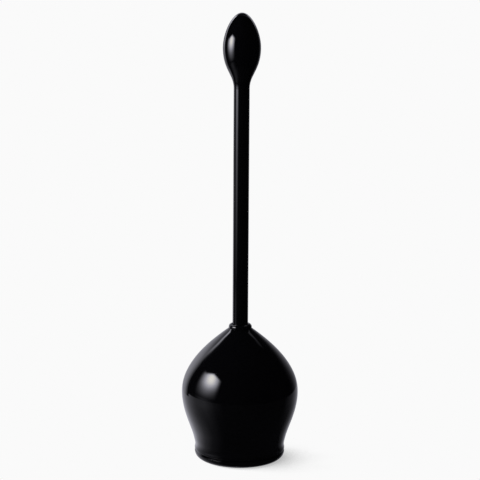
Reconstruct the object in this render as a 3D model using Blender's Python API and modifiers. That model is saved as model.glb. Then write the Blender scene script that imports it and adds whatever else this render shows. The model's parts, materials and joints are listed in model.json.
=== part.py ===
"""A covered toilet plunger: a flanged rubber cup on a tubular shaft with an egg-shaped grip.

A bulb-shaped cover slides up the shaft, and the whole stands in a shallow tray.
Metres, +Z up. The origin is on the floor, on the shaft's axis.
Every piece is round that axis, apart from the ribs, the foot pads and the nut.
"""

import math

import bpy

# Driving dimensions
COVER_RADIUS = 0.0750
SHAFT_RADIUS = 0.0100
GRIP_RADIUS = 0.0238
TOTAL_HEIGHT = 0.5738
CUP_RADIUS = 0.0510
GAP = 0.0003

# Tray
TRAY_UNDERSIDE = 0.0006
TRAY_FLOOR_TOP = 0.0030
TRAY_FOOT_RADIUS = 0.0474
TRAY_FLOOR_RADIUS = 0.0450
TRAY_RIM_RADIUS = 0.0582
TRAY_RIM_HEIGHT = 0.0112
TRAY_SIDE_PULL = 0.0070
TRAY_FOOT_PULL = 0.0040
SPIGOT_RADIUS = 0.0552
SPIGOT_WALL = 0.0020
SPIGOT_TOP = 0.0180
RIB_BARS = 3
RIB_LENGTH = 0.0880
RIB_WIDTH = 0.0020
RIB_TOP = 0.0050
TRAY_CHAMFER = 0.0018
TRAY_CORNER_PULL = 0.0030
RIB_ROOT = 0.0010

# Feet
PAD_RADIUS = 0.0060
PAD_THICKNESS = 0.0016
PAD_CIRCLE = 0.0380
PAD_EDGE = 0.0003
PAD_NAMES = ("right", "back", "left", "front")

# Cover
LIP_RADIUS = 0.0583
LIP_HEIGHT = TRAY_RIM_HEIGHT + 3.0 * GAP
WAIST_RADIUS = 0.0579
WAIST_HEIGHT = 0.0160
BELLY_HEIGHT = 0.0891
NECK_RADIUS = 0.0150
NECK_HEIGHT = 0.1724
NECK_SLOPE = math.radians(39.9)
WAIST_PULL = 0.0210
BELLY_PULL_DOWN = 0.0318
BELLY_PULL_UP = 0.0403
NECK_PULL = 0.0133
COVER_WALL = 0.0020
LIP_EDGE = 0.0010
LIP_LAND = 0.0020
NECK_EDGE = 0.0005
BOSS_BORE = 0.0137
BOSS_RADIUS = 0.0158
BOSS_BOTTOM = 0.1570
BOSS_TOP = NECK_HEIGHT - 0.0040

# Collar bush, with the rings, the washer and the nut on it
FLANGE_RADIUS = 0.0148
FLANGE_BOTTOM = NECK_HEIGHT + GAP
FLANGE_TOP = 0.1778
FLANGE_EDGE = 0.0006
SLEEVE_RADIUS = BOSS_BORE - GAP
SLEEVE_BOTTOM = 0.1480
SLEEVE_CHAMFER = 0.0006
BUSH_BORE = SHAFT_RADIUS + GAP
GROOVE_RADIUS = 0.0124
GROOVE_WIDTH = 0.0023
UPPER_GROOVE = 0.1680
LOWER_GROOVE = 0.1515
RING_SECTION = 0.00085
WASHER_RADIUS = 0.0175
WASHER_THICKNESS = 0.0010
NUT_RADIUS = 0.0182
NUT_HEIGHT = 0.0050
NUT_EDGE = 0.0005

# Grip
GRIP_BOTTOM = 0.4799
GRIP_HEIGHT = 0.5306
GRIP_NECK_PULL = 0.0174
GRIP_LOWER_PULL = 0.0277
GRIP_UPPER_PULL = 0.0183
GRIP_TIP_PULL = 0.0124
GRIP_WALL = 0.0026
INSERT_RADIUS = 0.0060
INSERT_BOTTOM = 0.4820
INSERT_TOP = 0.5000
INSERT_EDGE = 0.0004
INSERT_HALF_GROOVE = 0.0020
SEAT_LEDGE = 0.0013
SEAT_LEDGE_HEIGHT = 0.0016
SEAT_ROOF = 0.0040
STUD_RADIUS = 0.0040
STUD_BOTTOM = 0.4520
STUD_TOP = 0.4980
STUD_CHAMFER = 0.0008

# Shaft and its plugs
TUBE_WALL = 0.0012
TUBE_BOTTOM = 0.0923
PLUG_RADIUS = SHAFT_RADIUS - TUBE_WALL - GAP
TOP_PLUG_BOTTOM = 0.4480
TOP_PLUG_TOP = 0.4760
END_PLUG_FLANGE = 0.0020
END_PLUG_TOP = 0.1160
BARB_COUNT = 3
BARB_PITCH = 0.0060
BARB_DEPTH = 0.0006
BARB_LAND = 0.0010

# Rubber cup
CUP_FOOT = RIB_TOP + GAP
SOCKET_TOP = 0.1240
SOCKET_RADIUS = 0.0148
SOCKET_BEAD = 0.0160
SOCKET_BEAD_EDGE = 0.0012
BEAD_BOTTOM = SOCKET_TOP - 0.0045
SOCKET_SIDE_TOP = SOCKET_TOP - 0.0065
SOCKET_FLOOR_TOP = TUBE_BOTTOM - END_PLUG_FLANGE - 2.0 * GAP
SOCKET_FLOOR_BOTTOM = SOCKET_FLOOR_TOP - 0.0060
SHOULDER = (0.0300, 0.0850)
SOCKET_PULL = (SOCKET_RADIUS + 0.0007, 0.0960)
SHOULDER_PULL_IN = (0.0200, 0.0880)
SHOULDER_PULL_OUT = (0.0415, 0.0816)
CUP_WIDEST = 0.0480
CUP_WALL = 0.0040
CUP_PULL_UP = 0.0160
CUP_PULL_DOWN = 0.0130
FLANGE_ROOT = (0.0365, 0.0270)
FLANGE_PULL = (0.0385, 0.0330)
FLANGE_FOOT = 0.0350
FLANGE_WALL = 0.0036
CHAMBER_PULL = 0.0100
ROOF_PULL = 0.0220
ROOF_EDGE_PULL = 0.0320
ROOF_EDGE = 0.0150

# Cup screw and its washer
SCREW_RADIUS = 0.0025
SCREW_BORE = SCREW_RADIUS + GAP
SCREW_TIP = 0.1080
SCREW_HEAD_RADIUS = 0.0048
SCREW_HEAD_HEIGHT = 0.0030
SCREW_HEAD_SIDE = 0.0010
SCREW_HEAD_PULL = 0.7
SCREW_CHAMFER = 0.0008
SCREW_HOLE_CLEARANCE = 0.0020
DRILL_POINT = 0.0015
CUP_WASHER_RADIUS = 0.0120
CUP_WASHER_THICKNESS = 0.0016
CUP_WASHER_EDGE = 0.0004
RECESS_LENGTH = 0.0050
RECESS_WIDTH = 0.0011
RECESS_DEPTH = 0.0018

ROUND_STEPS = 32
SMALL_STEPS = 20
RING_STEPS = 6
MERGE = 0.00001

BLACK = (0.012, 0.012, 0.014, 1.0)
RUBBER_BLACK = (0.020, 0.020, 0.021, 1.0)
NYLON_GREY = (0.060, 0.060, 0.062, 1.0)
STEEL = (0.560, 0.570, 0.580, 1.0)
BRASS = (0.620, 0.450, 0.180, 1.0)


def clear_scene():
    for obj in list(bpy.data.objects):
        bpy.data.objects.remove(obj, do_unlink=True)


def new_collection(name):
    collection = bpy.data.collections.new(name)
    bpy.context.scene.collection.children.link(collection)
    return collection


def principled(name, colour, roughness, metallic=0.0):
    """A material with one Principled BSDF."""
    material = bpy.data.materials.new(name)
    material.use_nodes = True
    shader = material.node_tree.nodes["Principled BSDF"]
    shader.inputs["Base Color"].default_value = colour
    shader.inputs["Roughness"].default_value = roughness
    shader.inputs["Metallic"].default_value = metallic
    material.diffuse_color = colour
    return material


def bezier(start, start_pull, end_pull, end, steps):
    """Points after start, up to end, on a cubic curve."""
    points = []
    for i in range(1, steps + 1):
        t = i / steps
        weights = ((1 - t) ** 3, 3 * (1 - t) ** 2 * t, 3 * (1 - t) * t**2, t**3)
        corners = (start, start_pull, end_pull, end)
        points.append(tuple(sum(w * c[k] for w, c in zip(weights, corners)) for k in (0, 1)))
    return points


def arc(centre, radius, start, end, steps):
    """Points on an arc, from angle start to angle end in degrees, both included."""
    points = []
    for i in range(steps + 1):
        angle = math.radians(start + (end - start) * i / steps)
        points.append((centre[0] + radius * math.cos(angle), centre[1] + radius * math.sin(angle)))
    return points


def inset(points, distance):
    """The outline's points moved inwards, along the normals, and in reverse order."""
    moved = []
    for i, (radius, height) in enumerate(points):
        before = points[max(i - 1, 0)]
        after = points[min(i + 1, len(points) - 1)]
        along = (after[0] - before[0], after[1] - before[1])
        length = math.hypot(*along)
        moved.append((radius + distance * along[1] / length, height - distance * along[0] / length))
    return moved[::-1]


def place(obj, name, collection, material, parent):
    obj.name = name
    obj.data.name = name
    for other in list(obj.users_collection):
        other.objects.unlink(obj)
    collection.objects.link(obj)
    if material:
        obj.data.materials.append(material)
    obj.parent = parent
    return obj


def turned(name, outline, material, parent, closed=True, steps=ROUND_STEPS):
    """A turned piece: its outline runs down the outer side and back up the inner one, or ends on the axis."""
    mesh = bpy.data.meshes.new(name)
    edges = [(i, i + 1) for i in range(len(outline) - 1)]
    if closed:
        edges.append((len(outline) - 1, 0))
    mesh.from_pydata([(radius, 0.0, height) for radius, height in outline], edges, [])
    obj = place(bpy.data.objects.new(name, mesh), name, parts, material, parent)
    screw = obj.modifiers.new("Turn", "SCREW")
    screw.axis = "Z"
    screw.steps = steps
    screw.render_steps = steps
    screw.use_merge_vertices = True
    screw.merge_threshold = MERGE
    screw.use_smooth_shade = True
    return obj


def add_cylinder(radius, depth, centre, vertices=SMALL_STEPS):
    bpy.ops.mesh.primitive_cylinder_add(radius=radius, depth=depth, vertices=vertices, location=centre)
    return bpy.context.object


def add_bar(size, centre, angle=0.0):
    """A box of the given size, its scale applied, turned about Z."""
    bpy.ops.mesh.primitive_cube_add(size=1.0, location=centre, rotation=(0.0, 0.0, angle))
    bar = bpy.context.object
    for vertex in bar.data.vertices:
        for k in range(3):
            vertex.co[k] *= size[k]
    return bar


def boolean(obj, tool, operation):
    """Cut obj with tool, or join tool to it. The tool moves to the cutters."""
    place(tool, f"{obj.name}_{operation.lower()}_{len(cutters.objects)}", cutters, None, obj.parent)
    tool.hide_render = True
    tool.display_type = "WIRE"
    modifier = obj.modifiers.new(tool.name, "BOOLEAN")
    modifier.operation = operation
    modifier.object = tool
    modifier.solver = "EXACT"


def soften(obj, width):
    bevel = obj.modifiers.new("Soft edges", "BEVEL")
    bevel.width = width
    bevel.segments = 1
    bevel.limit_method = "ANGLE"


def frame(name, height, parent=None):
    """An empty on the axis, which carries the pieces of one moving group."""
    empty = bpy.data.objects.new(name, None)
    empty.empty_display_size = 0.02
    empty.location = (0.0, 0.0, height)
    empty.parent = parent
    parts.objects.link(empty)
    return empty


def make_tray():
    underside = [(TRAY_FOOT_RADIUS, TRAY_UNDERSIDE), (0.0, TRAY_UNDERSIDE)]
    side_top = (TRAY_RIM_RADIUS, TRAY_RIM_HEIGHT - TRAY_CHAMFER)
    side = bezier(
        side_top,
        (TRAY_RIM_RADIUS, side_top[1] - TRAY_SIDE_PULL),
        (TRAY_FOOT_RADIUS + TRAY_FOOT_PULL, TRAY_UNDERSIDE),
        underside[0],
        steps=6,
    )
    spigot_inside = SPIGOT_RADIUS - SPIGOT_WALL
    floor_edge = (TRAY_FLOOR_RADIUS, TRAY_FLOOR_TOP)
    hollow = bezier(
        floor_edge,
        (spigot_inside - TRAY_CORNER_PULL, TRAY_FLOOR_TOP),
        (spigot_inside, TRAY_FLOOR_TOP + TRAY_CORNER_PULL),
        (spigot_inside, TRAY_RIM_HEIGHT),
        steps=4,
    )
    crown = arc((SPIGOT_RADIUS - SPIGOT_WALL / 2, SPIGOT_TOP - SPIGOT_WALL / 2), SPIGOT_WALL / 2, 180, 0, 4)
    land = [(SPIGOT_RADIUS, TRAY_RIM_HEIGHT), (TRAY_RIM_RADIUS - TRAY_CHAMFER, TRAY_RIM_HEIGHT), side_top]
    outline = [(0.0, TRAY_FLOOR_TOP), floor_edge, *hollow, *crown, *land, *side, underside[1]]
    tray = turned("base_tray", outline, gloss_black, tray_group, closed=False)

    rib_bottom = TRAY_FLOOR_TOP - RIB_ROOT
    for i in range(RIB_BARS):
        size = (RIB_LENGTH, RIB_WIDTH, RIB_TOP - rib_bottom)
        bar = add_bar(size, (0.0, 0.0, (RIB_TOP + rib_bottom) / 2), math.pi * i / RIB_BARS)
        boolean(tray, bar, "UNION")

    for i, side_name in enumerate(PAD_NAMES):
        angle = math.pi / 2 * i
        x, y = PAD_CIRCLE * math.cos(angle), PAD_CIRCLE * math.sin(angle)
        pocket_top = PAD_THICKNESS + GAP
        boolean(tray, add_cylinder(PAD_RADIUS + GAP, 2.0 * pocket_top, (x, y, 0.0)), "DIFFERENCE")
        pad = add_cylinder(PAD_RADIUS, PAD_THICKNESS, (x, y, PAD_THICKNESS / 2))
        place(pad, f"foot_pad_{side_name}", parts, rubber, tray_group)
        soften(pad, PAD_EDGE)


def make_cover():
    neck = (NECK_RADIUS, NECK_HEIGHT - NECK_EDGE)
    belly = (COVER_RADIUS, BELLY_HEIGHT)
    waist = (WAIST_RADIUS, WAIST_HEIGHT)
    neck_pull = (
        neck[0] + NECK_PULL * math.cos(NECK_SLOPE),
        neck[1] - NECK_PULL * math.sin(NECK_SLOPE),
    )
    dome = bezier(neck, neck_pull, (COVER_RADIUS, BELLY_HEIGHT + BELLY_PULL_UP), belly, steps=9)
    lower = bezier(
        belly,
        (COVER_RADIUS, BELLY_HEIGHT - BELLY_PULL_DOWN),
        (WAIST_RADIUS, WAIST_HEIGHT + WAIST_PULL),
        waist,
        steps=7,
    )
    lip = arc((LIP_RADIUS - LIP_EDGE, LIP_HEIGHT + LIP_EDGE), LIP_EDGE, 0, -90, 6)
    inner_radius = WAIST_RADIUS - COVER_WALL
    lip_inside = [(inner_radius, LIP_HEIGHT), (inner_radius, LIP_HEIGHT + LIP_LAND)]
    wall = [point for point in inset(dome + lower, COVER_WALL) if point[0] > BOSS_RADIUS]
    boss = [
        (BOSS_RADIUS, BOSS_TOP),
        (BOSS_RADIUS, BOSS_BOTTOM),
        (BOSS_BORE, BOSS_BOTTOM),
        (BOSS_BORE, NECK_HEIGHT),
        (NECK_RADIUS - NECK_EDGE, NECK_HEIGHT),
    ]
    outline = [neck, *dome, *lower, *lip, *lip_inside, *wall, *boss]
    turned("cover_shell", outline, gloss_black, turn_group)


def groove(bottom):
    """A ring groove in the bush's bore, from its lower edge up."""
    top = bottom + GROOVE_WIDTH
    return [(BUSH_BORE, bottom), (GROOVE_RADIUS, bottom), (GROOVE_RADIUS, top), (BUSH_BORE, top)]


def make_collar():
    rounding = FLANGE_RADIUS - BUSH_BORE - FLANGE_EDGE
    crown = arc((FLANGE_RADIUS - rounding, FLANGE_TOP - rounding), rounding, 90, 0, 6)
    flange = [(BUSH_BORE, FLANGE_TOP - FLANGE_EDGE), *crown]
    underside = [(FLANGE_RADIUS, FLANGE_BOTTOM), (SLEEVE_RADIUS, FLANGE_BOTTOM)]
    sleeve = [
        (SLEEVE_RADIUS, SLEEVE_BOTTOM + SLEEVE_CHAMFER),
        (SLEEVE_RADIUS - SLEEVE_CHAMFER, SLEEVE_BOTTOM),
        (BUSH_BORE, SLEEVE_BOTTOM),
    ]
    outline = [*flange, *underside, *sleeve, *groove(LOWER_GROOVE), *groove(UPPER_GROOVE)]
    turned("collar_bush", outline, gloss_black, slide_group)

    for name, bottom in (("friction_ring_lower", LOWER_GROOVE), ("friction_ring_upper", UPPER_GROOVE)):
        bpy.ops.mesh.primitive_torus_add(
            major_segments=ROUND_STEPS,
            minor_segments=RING_STEPS,
            major_radius=(BUSH_BORE + GROOVE_RADIUS) / 2 - GAP / 2,
            minor_radius=RING_SECTION,
            location=(0.0, 0.0, bottom + GROOVE_WIDTH / 2),
        )
        ring = place(bpy.context.object, name, parts, rubber, slide_group)
        ring.data.shade_smooth()

    washer_top = BOSS_BOTTOM - GAP
    washer_bottom = washer_top - WASHER_THICKNESS
    washer = [
        (BOSS_BORE, washer_top),
        (WASHER_RADIUS, washer_top),
        (WASHER_RADIUS, washer_bottom),
        (BOSS_BORE, washer_bottom),
    ]
    turned("collar_washer", washer, nylon, slide_group)

    nut_top = washer_bottom - GAP
    centre = (0.0, 0.0, nut_top - NUT_HEIGHT / 2)
    nut = place(add_cylinder(NUT_RADIUS, NUT_HEIGHT, centre, 6), "collar_nut", parts, nylon, slide_group)
    soften(nut, NUT_EDGE)
    boolean(nut, add_cylinder(BOSS_BORE, 2.0 * NUT_HEIGHT, centre, ROUND_STEPS), "DIFFERENCE")


def make_grip():
    tip = (0.0, TOTAL_HEIGHT)
    widest = (GRIP_RADIUS, GRIP_HEIGHT)
    neck = (SHAFT_RADIUS, GRIP_BOTTOM)
    upper = bezier(
        tip,
        (GRIP_TIP_PULL, TOTAL_HEIGHT),
        (GRIP_RADIUS, GRIP_HEIGHT + GRIP_UPPER_PULL),
        widest,
        steps=8,
    )
    lower = bezier(
        widest,
        (GRIP_RADIUS, GRIP_HEIGHT - GRIP_LOWER_PULL),
        (SHAFT_RADIUS, GRIP_BOTTOM + GRIP_NECK_PULL),
        neck,
        steps=9,
    )
    bore = INSERT_RADIUS + GAP
    seat = INSERT_TOP + GAP
    ledge = bore - SEAT_LEDGE
    bore_side = [(bore, GRIP_BOTTOM), (bore, seat), (ledge, seat), (ledge, seat + SEAT_LEDGE_HEIGHT)]
    hollow = [point for point in inset(upper + lower, GRIP_WALL) if point[1] > seat + SEAT_ROOF]
    outline = [tip, *upper, *lower, *bore_side, *hollow, (0.0, TOTAL_HEIGHT - GRIP_WALL)]
    turned("grip_shell", outline, gloss_black, lift_group, closed=False)

    middle = (INSERT_BOTTOM + INSERT_TOP) / 2
    groove_top = middle + INSERT_HALF_GROOVE
    groove_bottom = middle - INSERT_HALF_GROOVE
    bore = STUD_RADIUS + GAP
    insert = [
        (bore, INSERT_TOP),
        (INSERT_RADIUS - INSERT_EDGE, INSERT_TOP),
        (INSERT_RADIUS, INSERT_TOP - INSERT_EDGE),
        (INSERT_RADIUS, groove_top),
        (INSERT_RADIUS - INSERT_EDGE, groove_top - INSERT_EDGE),
        (INSERT_RADIUS - INSERT_EDGE, groove_bottom + INSERT_EDGE),
        (INSERT_RADIUS, groove_bottom),
        (INSERT_RADIUS, INSERT_BOTTOM + INSERT_EDGE),
        (INSERT_RADIUS - INSERT_EDGE, INSERT_BOTTOM),
        (bore, INSERT_BOTTOM),
    ]
    turned("grip_insert", insert, brass, lift_group, steps=SMALL_STEPS)

    stud = [
        (0.0, STUD_TOP),
        (STUD_RADIUS - STUD_CHAMFER, STUD_TOP),
        (STUD_RADIUS, STUD_TOP - STUD_CHAMFER),
        (STUD_RADIUS, STUD_BOTTOM + STUD_CHAMFER),
        (STUD_RADIUS - STUD_CHAMFER, STUD_BOTTOM),
        (0.0, STUD_BOTTOM),
    ]
    turned("grip_stud", stud, steel, lift_group, closed=False, steps=SMALL_STEPS)


def barbs(first):
    """Saw teeth down a plug's side, which hold it in the tube."""
    points = []
    for i in range(BARB_COUNT):
        height = first - i * BARB_PITCH
        points += [(PLUG_RADIUS - BARB_DEPTH, height), (PLUG_RADIUS, height - BARB_PITCH + BARB_LAND)]
    return points


def make_shaft():
    tube_top = GRIP_BOTTOM - GAP
    inside = SHAFT_RADIUS - TUBE_WALL
    tube = [(inside, tube_top), (SHAFT_RADIUS, tube_top), (SHAFT_RADIUS, TUBE_BOTTOM), (inside, TUBE_BOTTOM)]
    turned("shaft_tube", tube, gloss_paint, lift_group)

    bore = STUD_RADIUS + GAP
    top_plug = [
        (bore, TOP_PLUG_TOP),
        *barbs(TOP_PLUG_TOP),
        (PLUG_RADIUS - BARB_DEPTH, TOP_PLUG_BOTTOM),
        (bore, TOP_PLUG_BOTTOM),
    ]
    turned("tube_top_plug", top_plug, nylon, lift_group)

    flange_bottom = TUBE_BOTTOM - GAP - END_PLUG_FLANGE
    flange_top = TUBE_BOTTOM - GAP
    hole_top = SCREW_TIP + SCREW_HOLE_CLEARANCE
    end_plug = [
        (0.0, END_PLUG_TOP),
        *barbs(END_PLUG_TOP),
        (PLUG_RADIUS - BARB_DEPTH, flange_top),
        (SHAFT_RADIUS, flange_top),
        (SHAFT_RADIUS, flange_bottom),
        (SCREW_BORE, flange_bottom),
        (SCREW_BORE, hole_top),
        (0.0, hole_top + DRILL_POINT),
    ]
    turned("tube_end_plug", end_plug, nylon, lift_group, closed=False)


def make_cup():
    socket_bore = SHAFT_RADIUS + GAP
    edge_centre = (SOCKET_BEAD - SOCKET_BEAD_EDGE, SOCKET_TOP - SOCKET_BEAD_EDGE)
    bead = [
        (socket_bore, SOCKET_TOP),
        *arc(edge_centre, SOCKET_BEAD_EDGE, 90, 0, 3),
        (SOCKET_BEAD, BEAD_BOTTOM),
        (SOCKET_RADIUS, SOCKET_SIDE_TOP),
    ]
    shoulder = bezier(bead[-1], SOCKET_PULL, SHOULDER_PULL_IN, SHOULDER, steps=5)
    widest = (CUP_RADIUS, CUP_WIDEST)
    bell = bezier(SHOULDER, SHOULDER_PULL_OUT, (CUP_RADIUS, CUP_WIDEST + CUP_PULL_UP), widest, steps=5)
    tuck = bezier(widest, (CUP_RADIUS, CUP_WIDEST - CUP_PULL_DOWN), FLANGE_PULL, FLANGE_ROOT, steps=5)
    foot_edge = FLANGE_WALL / 2
    foot = arc((FLANGE_FOOT - foot_edge, CUP_FOOT + foot_edge), foot_edge, 0, -180, 6)
    throat = (FLANGE_ROOT[0] - FLANGE_WALL, FLANGE_ROOT[1])
    belly = (CUP_RADIUS - CUP_WALL, CUP_WIDEST)
    throat_pull = (throat[0] + FLANGE_PULL[0] - FLANGE_ROOT[0], FLANGE_PULL[1])
    chamber = bezier(throat, throat_pull, (belly[0], CUP_WIDEST - CHAMBER_PULL), belly, steps=4)
    seat = (ROOF_EDGE, SOCKET_FLOOR_BOTTOM)
    roof_pull = (belly[0], CUP_WIDEST + ROOF_PULL)
    roof = bezier(belly, roof_pull, (ROOF_EDGE_PULL, SOCKET_FLOOR_BOTTOM), seat, steps=6)
    socket = [
        (SCREW_BORE, SOCKET_FLOOR_BOTTOM),
        (SCREW_BORE, SOCKET_FLOOR_TOP),
        (socket_bore, SOCKET_FLOOR_TOP),
    ]
    outline = [*bead, *shoulder, *bell, *tuck, *foot, throat, *chamber, *roof, *socket]
    turned("rubber_cup", outline, rubber, lift_group)


def make_cup_fixing():
    washer_top = SOCKET_FLOOR_BOTTOM - GAP
    washer_bottom = washer_top - CUP_WASHER_THICKNESS
    washer = [
        (SCREW_BORE, washer_top),
        (CUP_WASHER_RADIUS, washer_top),
        (CUP_WASHER_RADIUS, washer_bottom + CUP_WASHER_EDGE),
        (CUP_WASHER_RADIUS - CUP_WASHER_EDGE, washer_bottom),
        (SCREW_BORE, washer_bottom),
    ]
    turned("cup_washer", washer, steel, lift_group)

    head_top = washer_bottom - GAP
    head_bottom = head_top - SCREW_HEAD_HEIGHT
    head_side = (SCREW_HEAD_RADIUS, head_top - SCREW_HEAD_SIDE)
    head = bezier(
        head_side,
        (SCREW_HEAD_RADIUS, head_top - 2.0 * SCREW_HEAD_SIDE),
        (SCREW_HEAD_RADIUS * SCREW_HEAD_PULL, head_bottom),
        (0.0, head_bottom),
        steps=4,
    )
    shank = [
        (0.0, SCREW_TIP),
        (SCREW_RADIUS - SCREW_CHAMFER, SCREW_TIP),
        (SCREW_RADIUS, SCREW_TIP - SCREW_CHAMFER),
        (SCREW_RADIUS, head_top),
        (SCREW_HEAD_RADIUS, head_top),
    ]
    outline = [*shank, head_side, *head]
    screw = turned("cup_screw", outline, steel, lift_group, closed=False, steps=SMALL_STEPS)
    size = (RECESS_LENGTH, RECESS_WIDTH, 2.0 * RECESS_DEPTH)
    for angle in (0.0, math.pi / 2):
        boolean(screw, add_bar(size, (0.0, 0.0, head_bottom), angle), "DIFFERENCE")


clear_scene()
parts = new_collection("covered_toilet_plunger")
cutters = new_collection("cutters")

gloss_black = principled("gloss_black_plastic", BLACK, 0.12)
gloss_paint = principled("gloss_black_paint", BLACK, 0.10)
rubber = principled("black_rubber", RUBBER_BLACK, 0.55)
nylon = principled("grey_nylon", NYLON_GREY, 0.45)
steel = principled("brushed_steel", STEEL, 0.30, 1.0)
brass = principled("brass", BRASS, 0.30, 1.0)

tray_group = frame("tray_group", 0.0)
lift_group = frame("plunger_lift_axis", 0.0, tray_group)
slide_group = frame("cover_slide_axis", 0.0, lift_group)
turn_group = frame("cover_turn_axis", 0.0, slide_group)

make_tray()
make_cover()
make_collar()
make_grip()
make_shaft()
make_cup()
make_cup_fixing()
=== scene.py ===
"""Looks for the covered toilet plunger: fine turned meshes, procedural finishes and a plain pale studio.

Metres, +Z up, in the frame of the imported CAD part. Outlines are read from the CAD nodes, so sizes stay
theirs. An outline is a list of complex numbers: radius + height j.
"""

import cmath
import json
import math

import bmesh
import bpy
import numpy as np
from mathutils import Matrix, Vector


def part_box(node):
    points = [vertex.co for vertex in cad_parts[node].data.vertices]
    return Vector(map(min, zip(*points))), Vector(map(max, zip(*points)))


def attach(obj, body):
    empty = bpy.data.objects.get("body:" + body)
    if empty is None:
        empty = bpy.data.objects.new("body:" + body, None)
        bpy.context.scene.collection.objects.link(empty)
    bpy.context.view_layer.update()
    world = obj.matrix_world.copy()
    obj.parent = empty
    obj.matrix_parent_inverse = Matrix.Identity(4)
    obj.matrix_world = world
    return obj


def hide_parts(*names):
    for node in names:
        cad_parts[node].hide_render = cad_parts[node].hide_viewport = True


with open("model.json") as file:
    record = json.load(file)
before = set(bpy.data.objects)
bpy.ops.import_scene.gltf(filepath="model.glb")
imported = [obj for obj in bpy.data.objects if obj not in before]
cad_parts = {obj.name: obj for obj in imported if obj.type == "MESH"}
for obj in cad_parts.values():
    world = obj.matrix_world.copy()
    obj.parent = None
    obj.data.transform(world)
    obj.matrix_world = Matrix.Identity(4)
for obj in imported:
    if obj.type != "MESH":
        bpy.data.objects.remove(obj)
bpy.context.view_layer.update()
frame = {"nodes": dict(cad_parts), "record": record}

TAU = 2.0 * math.pi
MILLIMETRE = 0.001
WELD = 1e-6
TOUCHING = 2.0 * WELD

# Outlines: what counts as a corner or as straight, and how finely the rest is drawn
CORNER_TURN = math.radians(50)
CHAMFER_TURN = math.radians(40)
CHAMFER_RATIO = 1.6
SHALLOW_TURN = math.radians(35)
SHALLOW_EASE = 10.0
STRAIGHT_RATIO = 2.5
FINE_TURN = math.radians(2.5)
FILLET_TURN = math.radians(18)
FILLET_SHARE = 0.4
STEEPEST_TURN = 2.6
LONGEST_TRIM = 0.9
COVER_CORNER_TURN = math.radians(16)
EDGE = 0.25 * MILLIMETRE
CLOSE_EDGE = 0.06 * MILLIMETRE
LARGE_STEPS = 192
SMALL_STEPS = 96
RING_SECTION_STEPS = 20
BAR_EDGE_STEPS = 4
SHARP_ANGLE = math.radians(35)
LARGE_FACE_WEIGHT = 60

# Azimuths where the CAD's section misses the tray's ribs and pockets, and the recess in the screw's head
TRAY_AZIMUTH = 45.0
SCREW_AZIMUTH = 54.0

# Small detail of the pieces
SIDES = ("front", "right", "back", "left")
COVER_EDGE = 0.30 * MILLIMETRE
RIB_COUNT = 3
RIB_REACH = 44.0 * MILLIMETRE
RIB_HALF_WIDTH = 1.0 * MILLIMETRE
RIB_SUNK = 1.0 * MILLIMETRE
RIB_EDGE = 0.5 * MILLIMETRE
RIB_TO_CUP = 0.3 * MILLIMETRE
PAD_EDGE = 0.2 * MILLIMETRE
POCKET_GAP = 0.3 * MILLIMETRE
GROOVE_DEPTH = 0.25 * MILLIMETRE
GROOVE_SHARES = (0.78, 0.48)
GROOVE_TOP_SHARE = 0.05
GROOVE_FLOOR_SHARE = 0.03
BUSH_PITCH = 1.5 * MILLIMETRE
BUSH_THREAD_DEPTH = 0.5 * MILLIMETRE
BUSH_THREAD_PAST_NUT = 1.0 * MILLIMETRE
STUD_PITCH = 1.25 * MILLIMETRE
STUD_THREAD_DEPTH = 0.6 * MILLIMETRE
SCREW_PITCH = 0.8 * MILLIMETRE
SCREW_THREAD_DEPTH = 0.4 * MILLIMETRE
THREAD_RUN_OUT = 1.5
POINTS_PER_THREAD = 8.0
THREAD_TOLERANCE = 0.05 * MILLIMETRE
RECESS_REACH_SHARE = 0.52
RECESS_HALF_SHARE = 0.115
RECESS_EDGE_SHARE = 0.8
RECESS_BELOW = 1.0 * MILLIMETRE
RECESS_DEPTH = 1.8 * MILLIMETRE
NUT_SIDES = 6
NUT_CHAMFER = math.radians(30)
NUT_EDGE = 0.4 * MILLIMETRE
KNURL_TEETH = 30
KNURL_DEPTH = 0.3 * MILLIMETRE
KNURL_SPACING = 0.2 * MILLIMETRE
KNURL_TOLERANCE = 0.02 * MILLIMETRE
KNURL_STEPS = 240
CUP_EDGE = 0.4 * MILLIMETRE
MOULD_LINE_WIDTH = 0.35 * MILLIMETRE
MOULD_LINE_RISE = 0.22 * MILLIMETRE
MOULD_LINE_SPACING = 0.12 * MILLIMETRE
MOULD_LINE_TOLERANCE = 1.0 * MILLIMETRE

subparts = frame["record"]["subparts"]
SLOT_OF = {part["node"]: part["material_slot"] for part in subparts}
bodies = frame["record"]["behaviour"]["bodies"]
BODY_OF = {node: body for body, nodes in bodies.items() for node in nodes}


# ---------------------------------------------------------------- outlines

def cad_outline(node, azimuth=0.0):
    """The CAD node's section at an azimuth in degrees, and whether that outline is a closed loop."""
    mesh = frame["nodes"][node].data
    turn = cmath.rect(1.0, -math.radians(azimuth))
    labels = {}
    label_of = []
    section = {}
    for vertex in mesh.vertices:
        key = tuple(round(value / WELD) for value in vertex.co)
        label = labels.setdefault(key, len(labels))
        label_of.append(label)
        flat = complex(vertex.co.x, vertex.co.y) * turn
        if abs(flat.imag) < TOUCHING and flat.real > -WELD:
            section[label] = complex(max(flat.real, 0.0), vertex.co.z)
    beside = {}
    for edge in mesh.edges:
        first, second = (label_of[index] for index in edge.vertices)
        if first != second and first in section and second in section:
            beside.setdefault(first, set()).add(second)
            beside.setdefault(second, set()).add(first)
    ends = [label for label in beside if len(beside[label]) == 1]
    walk = [min(ends or beside)]
    while True:
        onward = [label for label in sorted(beside[walk[-1]]) if label not in walk]
        if not onward:
            break
        walk.append(onward[0])
    outline = [section[label] for label in walk]
    if ends:
        with_ends = (axis_point(outline[0]), *outline, axis_point(outline[-1]))
        outline = [point for point in with_ends if point is not None]
    return outline, not ends


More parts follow.
